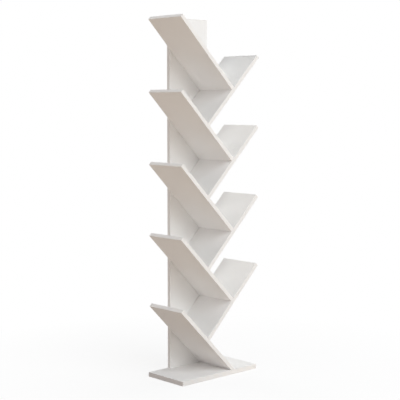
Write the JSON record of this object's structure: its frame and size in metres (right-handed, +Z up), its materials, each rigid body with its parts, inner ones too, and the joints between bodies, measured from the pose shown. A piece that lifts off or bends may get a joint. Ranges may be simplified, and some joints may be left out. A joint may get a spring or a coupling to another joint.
{
  "type": "tree shaped bookshelf",
  "caption": "Tree shaped bookshelf: sloping white shelves stand on one another in a zigzag in front of a narrow back panel on a flat base, and hold books in the V spaces.",
  "frame": {"origin": "on the floor under the middle of the base board", "axes": "+Z up, -Y to the front of the shelves, +X to the right seen from the front, +Y to the wall behind"},
  "size_m": [0.413, 0.2, 1.3999],
  "materials": {
    "white_board": "particle board faced with white melamine paper, satin with a fine pearl emboss",
    "white_edge_band": "white ABS edge band, smooth satin, arrises rounded",
    "beech_dowel": "turned beech, bare",
    "zinc_screw": "bright zinc plated steel"
  },
  "bodies": {
    "root": {"base_board": "white_board", "base_board_edging": "white_edge_band", "back_panel": "white_board", "back_panel_edging": "white_edge_band", "left_shelf_1": "white_board", "left_shelf_1_edging": "white_edge_band", "right_shelf_1": "white_board", "right_shelf_1_edging": "white_edge_band", "left_shelf_2": "white_board", "left_shelf_2_edging": "white_edge_band", "right_shelf_2": "white_board", "right_shelf_2_edging": "white_edge_band", "left_shelf_3": "white_board", "left_shelf_3_edging": "white_edge_band", "right_shelf_3": "white_board", "right_shelf_3_edging": "white_edge_band", "left_shelf_4": "white_board", "left_shelf_4_edging": "white_edge_band", "right_shelf_4": "white_board", "right_shelf_4_edging": "white_edge_band", "left_shelf_5": "white_board", "left_shelf_5_edging": "white_edge_band", "shelf_dowels": "beech_dowel", "foot_dowels": "beech_dowel", "shelf_screws": "zinc_screw", "base_screws": "zinc_screw"}
  },
  "joints": []
}
